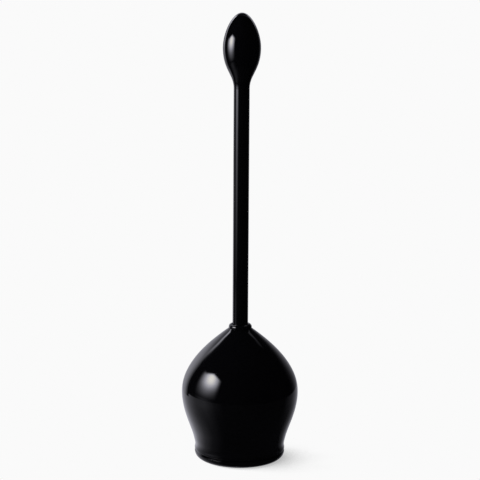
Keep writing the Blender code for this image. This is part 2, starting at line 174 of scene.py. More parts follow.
def axis_point(end):
    """The point on the axis that an open outline's end is joined to, or None if it is already there."""
    return None if end.real < TOUCHING else complex(0.0, end.imag)


def turn_at(before, point, after):
    return abs(cmath.phase((after - point) / (point - before)))


def spline_slopes(knots, first, last):
    """Slopes, by chord length, of a curve with continuous curvature through the knots.

    first and last are the directions at its two ends, or None where an end is free.
    """
    count = len(knots)
    steps = np.abs(np.diff(knots))
    chords = np.diff(knots) / steps
    matrix = np.zeros((count, count))
    right = np.zeros(count, complex)
    for i in range(1, count - 1):
        matrix[i, i - 1 : i + 2] = (steps[i], 2.0 * (steps[i - 1] + steps[i]), steps[i - 1])
        right[i] = 3.0 * (steps[i] * chords[i - 1] + steps[i - 1] * chords[i])
    both_ends = ((0, 1, first, chords[0]), (count - 1, count - 2, last, chords[-1]))
    for row, inner, direction, chord in both_ends:
        matrix[row, row] = 1.0
        right[row] = direction
        if direction is None:
            matrix[row, inner] = 1.0
            right[row] = 2.0 * chord
    return np.linalg.solve(matrix, right)


def curve(knots, first, last):
    """Points on the smooth curve through the knots, close enough together for a gloss surface."""
    if len(knots) == 2 and first is None and last is None:
        return list(knots)
    slopes = spline_slopes(knots, first, last)
    points = [knots[0]]
    for start, end, leave, arrive in zip(knots, knots[1:], slopes, slopes[1:]):
        chord = end - start
        length = abs(chord)
        turning = abs(cmath.phase(chord / leave)) + abs(cmath.phase(arrive / chord))
        pieces = max(1, math.ceil(turning / FINE_TURN))
        for k in range(1, pieces + 1):
            t = k / pieces
            points.append(
                start
                + chord * t * t * (3.0 - 2.0 * t)
                + leave * length * t * (1.0 - t) ** 2
                - arrive * length * t * t * (1.0 - t)
            )
    return points


def smooth_stretch(knots):
    """A curve through the knots. A segment much longer than those beside it stays straight."""
    lengths = [abs(b - a) for a, b in zip(knots, knots[1:])]
    straight = []
    for i, length in enumerate(lengths):
        beside = lengths[max(i - 1, 0) : i] + lengths[i + 1 : i + 2]
        straight.append(all(length > STRAIGHT_RATIO * other for other in beside))
    points = [knots[0]]
    i = 0
    while i < len(lengths):
        if straight[i]:
            points.append(knots[i + 1])
            i += 1
            continue
        end = i
        while end < len(lengths) and not straight[end]:
            end += 1
        first = (knots[i] - knots[i - 1]) / lengths[i - 1] if i > 0 else None
        last = (knots[end + 1] - knots[end]) / lengths[end] if end < len(lengths) else None
        points += curve(knots[i : end + 1], first, last)[1:]
        i = end
    return points


def trimmed(path, distance):
    """The path, shortened by that distance at its end."""
    path = list(path)
    while len(path) > 2 and abs(path[-1] - path[-2]) <= distance:
        distance -= abs(path[-1] - path[-2])
        path.pop()
    step = path[-2] - path[-1]
    path[-1] += step * min(distance / abs(step), LONGEST_TRIM)
    return path


def is_corner(before, knot, after, corner_turn):
    """Whether the outline turns sharply at the knot, or less sharply between a long and a short side."""
    turn = turn_at(before, knot, after)
    short, long = sorted((abs(knot - before), abs(after - knot)))
    return turn > corner_turn or (turn > CHAMFER_TURN and long > CHAMFER_RATIO * short)


def fine_outline(knots, closed, edge=EDGE, corner_turn=CORNER_TURN):
    """The outline with its round stretches drawn finely and each corner given a small radius."""
    count = len(knots)
    inner = range(count) if closed else range(1, count - 1)
    corners = [i for i in inner if is_corner(knots[i - 1], knots[i], knots[(i + 1) % count], corner_turn)]
    if closed:
        knots = knots[corners[0] :] + knots[: corners[0] + 1]
        corners = [i - corners[0] for i in corners[1:]]
    cuts = [0, *corners, len(knots) - 1]
    stretches = [smooth_stretch(knots[a : b + 1]) for a, b in zip(cuts, cuts[1:])]
    joints = range(len(stretches) if closed else len(stretches) - 1)
    room = [sum(abs(b - a) for a, b in zip(path, path[1:])) * FILLET_SHARE for path in stretches]
    fillets = {}
    trims = {}
    for i in joints:
        j = (i + 1) % len(stretches)
        corner = stretches[i][-1]
        turn = turn_at(stretches[i][-2], corner, stretches[j][1])
        radius = edge if turn > SHALLOW_TURN else edge * SHALLOW_EASE
        fillets[i] = (corner, turn)
        trims[i] = min(radius * math.tan(min(turn, STEEPEST_TURN) / 2.0), room[i], room[j])
    for i, trim in trims.items():
        j = (i + 1) % len(stretches)
        stretches[i] = trimmed(stretches[i], trim)
        stretches[j] = trimmed(stretches[j][::-1], trim)[::-1]
    outline = []
    for i, path in enumerate(stretches):
        outline += path
        if i in fillets:
            corner, turn = fillets[i]
            start, end = path[-1], stretches[(i + 1) % len(stretches)][0]
            pieces = max(2, math.ceil(turn / FILLET_TURN))
            for k in range(1, pieces):
                t = k / pieces
                outline.append(start * (1 - t) ** 2 + 2.0 * corner * t * (1 - t) + end * t * t)
    return outline


def dense(outline, closed, spacing, low, high):
    """The outline with extra points on the stretches between two heights, as fine relief needs."""
    points = []
    follow = outline[1:] + (outline[:1] if closed else [])
    for start, end in zip(outline, follow):
        points.append(start)
        if max(start.imag, end.imag) > low and min(start.imag, end.imag) < high:
            pieces = max(1, math.ceil(abs(end - start) / spacing))
            points += [start + (end - start) * k / pieces for k in range(1, pieces)]
    return points if closed else points + [outline[-1]]


# ---------------------------------------------------------------- meshes

def new_object(name, mesh):
    obj = bpy.data.objects.new(name, mesh)
    bpy.context.scene.collection.objects.link(obj)
    return obj


def turned(name, outline, closed, steps=LARGE_STEPS, relief=None, centre=(0.0, 0.0)):
    """A solid turned about a vertical axis through centre.

    relief(angles, radius, height) gives the distances that its points move along the radius.
    """
    angles = np.arange(steps) * TAU / steps
    vertices = []
    rings = []
    for point in outline:
        if point.real < TOUCHING:
            rings.append([len(vertices)] * steps)
            vertices.append((centre[0], centre[1], point.imag))
            continue
        radii = np.full(steps, point.real)
        if relief:
            radii = radii + relief(angles, point.real, point.imag)
        first = len(vertices)
        rings.append(list(range(first, first + steps)))
        across = centre[0] + radii * np.cos(angles)
        along = centre[1] + radii * np.sin(angles)
        vertices += [(x, y, point.imag) for x, y in zip(across.tolist(), along.tolist())]
    pairs = list(zip(rings, rings[1:]))
    if closed:
        pairs.append((rings[-1], rings[0]))
    faces = []
    for lower, upper in pairs:
        for k in range(steps):
            after = (k + 1) % steps
            face = tuple(dict.fromkeys((lower[k], lower[after], upper[after], upper[k])))
            if len(face) > 2:
                faces.append(face)
    mesh = bpy.data.meshes.new(name)
    mesh.from_pydata(vertices, [], faces)
    tidy_mesh(mesh)
    return new_object(name, mesh)


def tidy_mesh(mesh):
    """Normals out, smooth shading."""
    work = bmesh.new()
    work.from_mesh(mesh)
    bmesh.ops.recalc_face_normals(work, faces=work.faces)
    work.to_mesh(mesh)
    work.free()
    mesh.shade_smooth()


def even_shading(obj):
    """Large faces keep their own normals, so a small edge radius doesn't tilt the reflections beside it."""
    modifier = obj.modifiers.new("Even shading", "WEIGHTED_NORMAL")
    modifier.weight = LARGE_FACE_WEIGHT
    modifier.keep_sharp = True


def stand_for(obj, node):
    """obj takes the CAD node's place, body, material slot and finish."""
    even_shading(obj)
    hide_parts(node)
    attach(obj, BODY_OF[node])
    obj.data.materials.clear()
    obj.data.materials.append(finishes[SLOT_OF[node]])


def apply_modifiers(obj):
    bpy.context.view_layer.update()
    evaluated = obj.evaluated_get(bpy.context.evaluated_depsgraph_get())
    mesh = bpy.data.meshes.new_from_object(evaluated)
    obj.modifiers.clear()
    obj.data = mesh


def combine(obj, tools, operation):
    """Cut obj with the tools or join them to it. The tools are used up."""
    for tool in tools:
        modifier = obj.modifiers.new(tool.name, "BOOLEAN")
        modifier.operation = operation
        modifier.object = tool
        modifier.solver = "EXACT"
    apply_modifiers(obj)
    for tool in tools:
        bpy.data.objects.remove(tool, do_unlink=True)
    obj.data.shade_smooth()
    obj.data.set_sharp_from_angle(angle=SHARP_ANGLE)


def rounded_bar(name, low, high, angle, radius):
    """A bar between two opposite corners, the edges of its top rounded, turned about Z."""
    work = bmesh.new()
    bmesh.ops.create_cube(work, size=1.0)
    middle = [(a + b) / 2.0 for a, b in zip(low, high)]
    for vertex in work.verts:
        for k in range(3):
            vertex.co[k] = middle[k] + vertex.co[k] * (high[k] - low[k])
    upper = [edge for edge in work.edges if all(v.co.z > middle[2] for v in edge.verts)]
    bmesh.ops.bevel(work, geom=upper, offset=radius, segments=BAR_EDGE_STEPS, affect="EDGES", profile=0.5)
    cosine, sine = math.cos(angle), math.sin(angle)
    for vertex in work.verts:
        x, y = vertex.co.x, vertex.co.y
        vertex.co.x = x * cosine - y * sine
        vertex.co.y = x * sine + y * cosine
    mesh = bpy.data.meshes.new(name)
    work.to_mesh(mesh)
    work.free()
    return new_object(name, mesh)


def disc_outline(radius, low, high, edge):
    """An open outline of a disc with rounded rims, from the axis round to the axis."""
    knots = [complex(0, high), complex(radius, high), complex(radius, low), complex(0, low)]
    return fine_outline(knots, False, edge)


# ---------------------------------------------------------------- shader helpers

def add_node(tree, kind, inputs=None, **settings):
    """A node of that kind. inputs maps a socket's name or index to a value or to another node's output."""
    node = tree.nodes.new(kind)
    for key, value in settings.items():
        setattr(node, key, value)
    for key, value in (inputs or {}).items():
        if isinstance(value, bpy.types.NodeSocket):
            tree.links.new(value, node.inputs[key])
        else:
            node.inputs[key].default_value = value
    return node


def calc(tree, operation, first, second=0.0):
    """The output of a maths node."""
    return add_node(tree, "ShaderNodeMath", {0: first, 1: second}, operation=operation).outputs[0]


def remap(tree, value, low, high, new_low, new_high, smooth=False):
    """value carried from one range to another, and held at the new range's ends outside the first."""
    kind = "SMOOTHSTEP" if smooth else "LINEAR"
    inputs = {0: value, 1: low, 2: high, 3: new_low, 4: new_high}
    return add_node(tree, "ShaderNodeMapRange", inputs, interpolation_type=kind).outputs[0]


def mix(tree, share, first, second):
    """A level between two, by share. Sockets 2 and 3 are the mix node's plain values."""
    return add_node(tree, "ShaderNodeMix", {0: share, 2: first, 3: second}).outputs[0]


def blend_colour(tree, share, first, second):
    """A colour between two, by share. Sockets 6 and 7 are the mix node's colours."""
    inputs = {0: share, 6: (*first, 1.0), 7: (*second, 1.0)}
    return add_node(tree, "ShaderNodeMix", inputs, data_type="RGBA").outputs[2]


def vector(tree, operation, inputs, output=0):
    """An output of a vector maths node."""
    return add_node(tree, "ShaderNodeVectorMath", inputs, operation=operation).outputs[output]


def split(tree, place):
    """The X, Y and Z outputs of a vector."""
    return add_node(tree, "ShaderNodeSeparateXYZ", {0: place}).outputs


def noise(tree, place, scale, detail=2.0, roughness=0.5):
    inputs = {"Vector": place, "Scale": scale, "Detail": detail, "Roughness": roughness}
    return add_node(tree, "ShaderNodeTexNoise", inputs).outputs[0]


def stretched(tree, place, scale, turn=(0.0, 0.0, 0.0)):
    inputs = {"Vector": place, "Scale": scale, "Rotation": turn}
    return add_node(tree, "ShaderNodeMapping", inputs).outputs[0]


def bump(tree, height, distance, strength=1.0, under=None):
    inputs = {"Height": height, "Distance": distance, "Strength": strength}
    if under:
        inputs["Normal"] = under
    return add_node(tree, "ShaderNodeBump", inputs).outputs[0]


def new_finish(name, metallic=0.0):
    """An empty finish: its node tree, its shader and the place on the object in metres."""
    material = bpy.data.materials.new(name)
    material.use_nodes = True
    tree = material.node_tree
    shader = tree.nodes["Principled BSDF"]
    shader.inputs["Metallic"].default_value = metallic
    place = add_node(tree, "ShaderNodeTexCoord").outputs["Object"]
    return material, tree, shader, place


def dress(tree, shader, colour, roughness, normal):
    for socket, value in (("Base Color", colour), ("Roughness", roughness), ("Normal", normal)):
        tree.links.new(value, shader.inputs[socket])


def round_place(tree, place):
    """The place as angle, radius and height, for marks that run round or along a piece."""
    parts = split(tree, place)
    angle = calc(tree, "ARCTAN2", parts[1], parts[0])
    flat = vector(tree, "MULTIPLY", {0: place, 1: (1.0, 1.0, 0.0)})
    radius = vector(tree, "LENGTH", {0: flat}, "Value")
    return add_node(tree, "ShaderNodeCombineXYZ", {0: angle, 1: radius, 2: parts[2]}).outputs[0]


def hairlines(tree, place, seed_turn, share):
    """Sparse fine scratches, 0 to 1: a stretched noise where only its peaks count."""
    run = stretched(tree, place, HAIRLINE_SCALE, seed_turn)
    floor = 1.0 - share
    return remap(tree, noise(tree, run, 1.0, 3.0), floor, floor + HAIRLINE_SOFTNESS, 0.0, 1.0)


# ---------------------------------------------------------------- finishes

GLOSS_DEEP = (0.0009, 0.0009, 0.0012)
GLOSS_PALE = (0.0017, 0.0017, 0.0022)
PAINT_PALE = (0.0018, 0.0018, 0.0022)
HAIRLINE_SCALE = (90.0, 90.0, 2400.0)
HAIRLINE_SOFTNESS = 0.05
PAINT_DRAWN_SCALE = (14.0, 1.0, 3.0)
PAINT_RUB_SCALE = (130.0, 1.0, 9.0)
NYLON_DEEP = (0.050, 0.050, 0.052)
NYLON_PALE = (0.074, 0.074, 0.077)
NYLON_FLOW_SCALE = (60.0, 60.0, 260.0)
TOOL_MARK_SCALE = (1.2, 5200.0, 5200.0)


def gloss_plastic(name, roughness=0.045, peel=1.0):
    """Moulded gloss black: faint orange peel, soft clouding and a few hairline scratches."""
    material, tree, shader, place = new_finish(name)
    clouds = noise(tree, place, scale=22.0, detail=3.0)
    colour = blend_colour(tree, clouds, GLOSS_DEEP, GLOSS_PALE)
    one_way = hairlines(tree, place, seed_turn=(0.5, 0.3, 0.0), share=0.30)
    other_way = hairlines(tree, place, seed_turn=(1.3, -0.6, 0.9), share=0.29)
    scratches = calc(tree, "MAXIMUM", one_way, other_way)
    patches = noise(tree, place, scale=60.0, detail=4.0)
    haze = remap(tree, patches, 0.35, 0.75, roughness * 0.85, roughness * 1.35)
    rough = calc(tree, "ADD", haze, calc(tree, "MULTIPLY", scratches, 0.05))
    waves = noise(tree, place, scale=380.0, detail=1.0)
    flow = bump(tree, waves, distance=0.004 * MILLIMETRE * peel)
    normal = bump(tree, scratches, distance=0.001 * MILLIMETRE, strength=0.5, under=flow)
    dress(tree, shader, colour, rough, normal)
    return material


def gloss_paint(name):
    """Black paint on a drawn tube: finer peel, and very faint marks along it where the cover slides."""
    material, tree, shader, place = new_finish(name)
    unrolled = round_place(tree, place)
    drawn = noise(tree, stretched(tree, unrolled, PAINT_DRAWN_SCALE), scale=1.0, detail=3.0)
    colour = blend_colour(tree, drawn, GLOSS_DEEP, PAINT_PALE)
    streaks = noise(tree, stretched(tree, unrolled, PAINT_RUB_SCALE), scale=1.0, detail=4.0)
    rubbed = remap(tree, streaks, 0.66, 0.78, 0.0, 0.06)
    patches = noise(tree, place, scale=90.0, detail=3.0)
    haze = remap(tree, patches, 0.3, 0.7, 0.045, 0.070)
    rough = calc(tree, "ADD", haze, rubbed)
    normal = bump(tree, noise(tree, place, scale=620.0, detail=1.0), distance=0.002 * MILLIMETRE)
    dress(tree, shader, colour, rough, normal)
    return material


def rubber(name, dark, pale, roughness, grain):
    """Moulded rubber: fine grain, a patchy bloom and scuffs."""
    material, tree, shader, place = new_finish(name)
    patches = noise(tree, place, scale=45.0, detail=5.0, roughness=0.6)
    bloom = remap(tree, patches, 0.42, 0.72, 0.0, 1.0)
    scuffs = calc(tree, "MULTIPLY", hairlines(tree, place, seed_turn=(0.9, 0.4, 0.2), share=0.34), 0.7)
    colour = blend_colour(tree, calc(tree, "MAXIMUM", bloom, scuffs), dark, pale)
    rough = remap(tree, bloom, 0.0, 1.0, roughness, roughness + 0.16)
    fine = noise(tree, place, scale=grain, detail=2.0)
    coarse = noise(tree, place, scale=grain / 9.0, detail=3.0)
    skin = bump(tree, fine, distance=0.03 * MILLIMETRE, strength=0.7)
    normal = bump(tree, coarse, distance=0.12 * MILLIMETRE, strength=0.5, under=skin)
    dress(tree, shader, colour, rough, normal)
    shader.inputs["Sheen Weight"].default_value = 0.08
    return material


def nylon(name):
    """Unpainted moulded nylon: satin, with a fine grain and faint flow marks."""
    material, tree, shader, place = new_finish(name)
    flow = noise(tree, stretched(tree, place, NYLON_FLOW_SCALE), scale=1.0, detail=4.0)
    colour = blend_colour(tree, flow, NYLON_DEEP, NYLON_PALE)
    patches = noise(tree, place, scale=240.0, detail=3.0)
    rough = remap(tree, patches, 0.3, 0.7, 0.36, 0.50)
    grain = noise(tree, place, scale=1500.0, detail=2.0)
    normal = bump(tree, grain, distance=0.010 * MILLIMETRE, strength=0.7)
    dress(tree, shader, colour, rough, normal)
    return material


def turned_metal(name, dark, pale, roughness):
    """Machined metal: tool marks that run round the axis, with slightly darker spots."""
    material, tree, shader, place = new_finish(name, metallic=1.0)
    unrolled = round_place(tree, place)
    marks = noise(tree, stretched(tree, unrolled, TOOL_MARK_SCALE), scale=1.0, detail=3.0)
    spots = noise(tree, place, scale=420.0, detail=4.0)
    colour = blend_colour(tree, spots, dark, pale)
    rough = remap(tree, marks, 0.3, 0.7, roughness * 0.8, roughness * 1.3)
    normal = bump(tree, marks, distance=0.006 * MILLIMETRE, strength=0.8)
    dress(tree, shader, colour, rough, normal)
    return material


finishes = {
    "cover_plastic": gloss_plastic("gloss_cover"),
    "tray_plastic": gloss_plastic("gloss_tray", roughness=0.060),
    "collar_plastic": gloss_plastic("gloss_collar", roughness=0.050, peel=0.5),
    "grip_plastic": gloss_plastic("gloss_grip", roughness=0.040, peel=0.7),
    "shaft_paint": gloss_paint("gloss_shaft_paint"),
    "cup_rubber": rubber("cup_rubber", (0.016, 0.016, 0.017), (0.034, 0.034, 0.035), 0.46, 1900.0),
    "pad_rubber": rubber("pad_rubber", (0.024, 0.024, 0.025), (0.048, 0.048, 0.049), 0.62, 2600.0),
    "ring_rubber": rubber("ring_rubber", (0.016, 0.016, 0.017), (0.030, 0.030, 0.031), 0.50, 2600.0),
    "nylon": nylon("grey_nylon"),
    "steel": turned_metal("turned_steel", (0.48, 0.49, 0.50), (0.60, 0.61, 0.62), 0.26),
    "brass": turned_metal("turned_brass", (0.55, 0.39, 0.15), (0.68, 0.50, 0.21), 0.28),
}


# ---------------------------------------------------------------- pieces

def plain_turned_piece(node, steps=LARGE_STEPS, edge=EDGE, corner_turn=CORNER_TURN):
    """A fine turned mesh that follows the CAD node's own outline."""
    knots, closed = cad_outline(node)
    stand_for(turned(f"{node}_fine", fine_outline(knots, closed, edge, corner_turn), closed, steps), node)


def round_box(node):
    """The radius of a round piece and its centre, seen from above."""
    low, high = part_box(node)
    return (high.x - low.x) / 2, ((low.x + high.x) / 2, (low.y + high.y) / 2)


def helix(radius, pitch, depth, low, high):
    """Relief of a rolled thread, cut inwards from the radius between two heights."""
    run_out = THREAD_RUN_OUT * pitch

    def relief(angles, at_radius, height):
        if abs(at_radius - radius) > THREAD_TOLERANCE:
            return np.zeros(len(angles))
        fade = min(1.0, max(0.0, min(height - low, high - height) / run_out))
        return -depth * fade * (0.5 - 0.5 * np.cos(TAU * height / pitch - angles))

    return relief


def threaded_piece(node, pitch, depth, low, high, steps, azimuth=0.0):
    """A turned piece with a thread on its widest plain stretch between two heights."""
    knots, closed = cad_outline(node, azimuth)
    radius = max(knot.real for knot in knots if low <= knot.imag <= high)
    outline = dense(fine_outline(knots, closed), closed, pitch / POINTS_PER_THREAD, low, high)
    relief = helix(radius, pitch, depth, low, high)
    return turned(f"{node}_fine", outline, closed, steps, relief)


def make_tray():
    """The tray, with its ribs, and a pocket under it for each foot pad."""
    knots, closed = cad_outline("base_tray", TRAY_AZIMUTH)
    tray = turned("base_tray_fine", fine_outline(knots, closed), closed)
    floor_top = max(knot.imag for knot in knots if knot.real < RIB_REACH)
    rib_low = (-RIB_REACH, -RIB_HALF_WIDTH, floor_top - RIB_SUNK)
    rib_high = (RIB_REACH, RIB_HALF_WIDTH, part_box("rubber_cup")[0].z - RIB_TO_CUP)
    ribs = []
    for i in range(RIB_COUNT):
        ribs.append(rounded_bar(f"rib_{i}", rib_low, rib_high, math.pi * i / RIB_COUNT, RIB_EDGE))
    combine(tray, ribs, "UNION")
    pockets = []
    for side in SIDES:
        radius, centre = round_box(f"foot_pad_{side}")
        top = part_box(f"foot_pad_{side}")[1].z
        outline = disc_outline(radius + POCKET_GAP, -top, top + POCKET_GAP, PAD_EDGE)
        pockets.append(turned(f"pocket_{side}", outline, False, SMALL_STEPS // 2, centre=centre))
    combine(tray, pockets, "DIFFERENCE")
    stand_for(tray, "base_tray")


def make_foot_pads():
    """Rubber pads with rounded rims and two shallow rings moulded into the face that grips the floor."""
    groove = (
        (GROOVE_TOP_SHARE, 0),
        (GROOVE_FLOOR_SHARE, GROOVE_DEPTH),
        (-GROOVE_FLOOR_SHARE, GROOVE_DEPTH),
        (-GROOVE_TOP_SHARE, 0),
    )
    for side in SIDES:
        node = f"foot_pad_{side}"
        low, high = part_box(node)
        radius, centre = round_box(node)
        knots = [complex(0, high.z), complex(radius, high.z), complex(radius, low.z)]
        for share in GROOVE_SHARES:
            for offset, depth in groove:
                knots.append(complex(radius * (share + offset), low.z + depth))
        knots.append(complex(0, low.z))
        outline = fine_outline(knots, False, PAD_EDGE)
        stand_for(turned(f"{node}_fine", outline, False, SMALL_STEPS, centre=centre), node)


def make_rings():
    """The two friction rings, round in section."""
    for node in ("friction_ring_upper", "friction_ring_lower"):
        low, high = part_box(node)
        section = (high.z - low.z) / 2
        middle = complex(high.x - section, (low.z + high.z) / 2)
        angles = [TAU * k / RING_SECTION_STEPS for k in range(RING_SECTION_STEPS)]
        outline = [middle + cmath.rect(section, angle) for angle in angles]
        stand_for(turned(f"{node}_fine", outline, True, SMALL_STEPS), node)


def make_collar():
    """The bush, threaded at its lower end where the nut runs."""
    node = "collar_bush"
    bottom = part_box(node)[0].z
    thread_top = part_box("collar_nut")[1].z + BUSH_THREAD_PAST_NUT
    bush = threaded_piece(node, BUSH_PITCH, BUSH_THREAD_DEPTH, bottom, thread_top, LARGE_STEPS)
    stand_for(bush, node)


def make_nut():
    """A hexagonal nut: a prism whose corners are turned off top and bottom, then bored."""
    node = "collar_nut"
    low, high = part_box(node)
    flat = high.x
    bore = min(math.hypot(v.co.x, v.co.y) for v in frame["nodes"][node].data.vertices)
    corner = flat / math.cos(math.pi / NUT_SIDES)
    depth = high.z - low.z
    work = bmesh.new()
    prism = {"segments": NUT_SIDES, "radius1": corner, "radius2": corner, "depth": depth}
    bmesh.ops.create_cone(work, cap_ends=True, **prism)
    for vertex in work.verts:
        x, y = vertex.co.x, vertex.co.y
        vertex.co.x, vertex.co.y = y, x
        vertex.co.z += (low.z + high.z) / 2
    mesh = bpy.data.meshes.new(f"{node}_fine")
    work.to_mesh(mesh)
    work.free()
    tidy_mesh(mesh)
    nut = new_object(f"{node}_fine", mesh)
    drop = (corner - flat) * math.tan(NUT_CHAMFER)
    well_in = flat - depth / math.tan(NUT_CHAMFER) * 0.5
    turning = [
        complex(0, high.z + depth),
        complex(well_in, high.z + depth * 0.5),
        complex(flat, high.z),
        complex(corner, high.z - drop),
        complex(corner, low.z + drop),
        complex(flat, low.z),
        complex(well_in, low.z - depth * 0.5),
        complex(0, low.z - depth),
    ]
    combine(nut, [turned("nut_turning", turning, False, SMALL_STEPS)], "INTERSECT")
    mouth = bore + 2 * NUT_EDGE
    boring = [
        complex(0, high.z + NUT_EDGE),
        complex(mouth, high.z + NUT_EDGE),
        complex(bore, high.z - NUT_EDGE),
        complex(bore, low.z + NUT_EDGE),
        complex(mouth, low.z - NUT_EDGE),
        complex(0, low.z - NUT_EDGE),
    ]
    combine(nut, [turned("nut_bore", boring, False, SMALL_STEPS)], "DIFFERENCE")
    stand_for(nut, node)


def make_insert():
    """The brass insert, with crossed knurls on its bands so that it holds in the grip."""
    node = "grip_insert"
    knots, closed = cad_outline(node)
    low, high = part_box(node)
    radius = high.x

    def knurl(angles, at_radius, height):
        if abs(at_radius - radius) > KNURL_TOLERANCE:
            return np.zeros(len(angles))
        lean = height / radius
        left = np.abs(np.sin(KNURL_TEETH / 2.0 * (angles + lean)))
        right = np.abs(np.sin(KNURL_TEETH / 2.0 * (angles - lean)))
        return -KNURL_DEPTH * (1.0 - np.minimum(left, right))

    outline = dense(fine_outline(knots, closed), closed, KNURL_SPACING, low.z, high.z)
    stand_for(turned(f"{node}_fine", outline, closed, KNURL_STEPS, knurl), node)


def make_stud():
    """The threaded stud between the shaft's top plug and the grip."""
    node = "grip_stud"
    low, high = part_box(node)
    stand_for(threaded_piece(node, STUD_PITCH, STUD_THREAD_DEPTH, low.z, high.z, SMALL_STEPS), node)


def make_screw():
    """The cup's screw: a thread above the washer and a cross recess in the head, which faces down."""
    node = "cup_screw"
    low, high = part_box(node)
    thread_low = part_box("cup_washer")[1].z
    screw = threaded_piece(
        node, SCREW_PITCH, SCREW_THREAD_DEPTH, thread_low, high.z, SMALL_STEPS, SCREW_AZIMUTH
    )
    reach = high.x * RECESS_REACH_SHARE
    half = high.x * RECESS_HALF_SHARE
    slot_low = (-reach, -half, low.z - RECESS_BELOW)
    slot_high = (reach, half, low.z + RECESS_DEPTH)
    edge = half * RECESS_EDGE_SHARE
    slots = [rounded_bar(f"recess_{i}", slot_low, slot_high, math.pi / 2 * i, edge) for i in range(2)]
    combine(screw, slots, "DIFFERENCE")
    stand_for(screw, node)


def make_cup():
    """The rubber cup, with the fine raised line that its mould leaves round the widest part."""
    node = "rubber_cup"
    knots, closed = cad_outline(node)
    widest = max(knots, key=lambda knot: knot.real)

    def mould_line(angles, at_radius, height):
        if at_radius < widest.real - MOULD_LINE_TOLERANCE:
            return np.zeros(len(angles))
        rise = MOULD_LINE_RISE * math.exp(-(((height - widest.imag) / MOULD_LINE_WIDTH) ** 2))
        return np.full(len(angles), rise)

    near = 4.0 * MOULD_LINE_WIDTH
    outline = fine_outline(knots, closed, CUP_EDGE)
    outline = dense(outline, closed, MOULD_LINE_SPACING, widest.imag - near, widest.imag + near)
    stand_for(turned(f"{node}_fine", outline, closed, LARGE_STEPS, mould_line), node)


make_tray()
make_foot_pads()
plain_turned_piece("cover_shell", edge=COVER_EDGE, corner_turn=COVER_CORNER_TURN)
make_collar()
make_rings()
plain_turned_piece("collar_washer", SMALL_STEPS)
make_nut()
plain_turned_piece("shaft_tube", SMALL_STEPS, CLOSE_EDGE)
plain_turned_piece("tube_top_plug", SMALL_STEPS)
plain_turned_piece("tube_end_plug", SMALL_STEPS)
plain_turned_piece("grip_shell", edge=CLOSE_EDGE)
make_insert()
make_stud()
make_screw()
make_cup()
plain_turned_piece("cup_washer", SMALL_STEPS)


# ---------------------------------------------------------------- studio

WHITE = 0.956
SOFT_FILL = 0.50
COOL = (0.975, 0.970, 1.085)
WARM = (1.030, 1.000, 0.940)
NEUTRAL = (1.0, 1.0, 1.0)

# Grey levels in reflections, as (degrees, level) by left azimuth
BACK_STOPS = ((-180, 0.45), (-156, 0.25), (-134, 0.04), (-122, 0.00), (124, 0.00), (150, 0.50), (180, 0.45))
# Painted light and shade of the floor as reflections see it: bright to the left and behind, dark in front
# and to the right
FLOOR_FAR = ((-180, 0.55), (-150, 0.38), (-125, 0.11), (-100, 0.01), (34, 0.01), (52, 0.08), (74, 0.34),
             (98, 0.30), (125, 0.58), (145, 0.82), (180, 0.65))
FLOOR_NEAR = ((-180, 0.45), (-159, 0.40), (-141, 0.10), (-125, 0.01), (50, 0.01), (84, 0.08), (108, 0.26),
              (125, 0.55), (150, 0.95), (180, 0.65))
CARD_STOPS = ((-180, 0.50), (116, 0.00), (127, 0.84), (136, 1.00), (155, 0.65), (180, 0.50))

# The world beyond everything. Heights here are the ray's climb, 0 level and 1 straight up
BACK_FADE = (0.12, 0.42)
BACK_FADE_LEVEL = 0.12
LINE_AZIMUTH = -126.0
LINE_SPREAD = 2.5
LINE_RISE = (0.62, 0.78)
LINE_LEVEL = 0.40

# The floor. Radii from the axis and ray lengths in metres
FLOOR_REACH = 20.0
NEAR_RADIUS = 0.10
FAR_RADIUS = 0.30
DIM_LENGTHS = (0.50, 0.75)
DIM_LEVEL = 0.50
SHEET_EDGE = 0.52
SHEET_EDGE_WIDTH = 0.06
# Painted brightness on the far floor towards the softbox, as reflections see it
FAR_GLOW = 0.24
FAR_GLOW_AZIMUTH = 77.0
FAR_GLOW_SPREAD = 11.0
FAR_GLOW_LENGTHS = (0.95, 1.10)
FAR_GLOW_LAST_SHARE = 0.2
# Painted shadow on the floor: its glow is darkened where an occlusion test, leaning towards LIGHT_SIDE,
# meets the object
LIGHT_SIDE = (-0.925, 0.16, 0.34)
SHADOW_REACH = 0.12
SHADOW_DARK = 0.10
SHADOW_CLEAR = 0.60
SHADOW_LEVEL = 0.04
SHADOW_SAMPLES = 16
# Painted contact shadow: reflections see the floor darker close round the foot
CONTACT_SHADOW_RADIUS = 0.050
CONTACT_SHADOW_WIDTH = 0.020
CONTACT_SHADOW_LEVEL = 0.25

# The softbox, a flat upright panel. Its back top is the lower top of the half away from the camera
SOFTBOX_AZIMUTH = 72.5
SOFTBOX_DISTANCE = 1.06
SOFTBOX_HALF = 0.64
SOFTBOX_TOP = 1.03
SOFTBOX_BACK_TOP = 0.86
SOFTBOX_TOP_SLOPE = (-0.32, 0.02)
SOFTBOX_TOP_FADE = 0.13
SOFTBOX_END_FADE = 0.38
HOT_ASIDE = 0.05
HOT_HEIGHT = 0.775
HOT_SPREAD = 0.23
HOT_RADIANCE = 15.8
SPILL_HEIGHT = 0.22
SPILL_SPREAD = 0.12
SPILL_RADIANCE = 0.50
WARM_LEVELS = (7.0, 15.0)

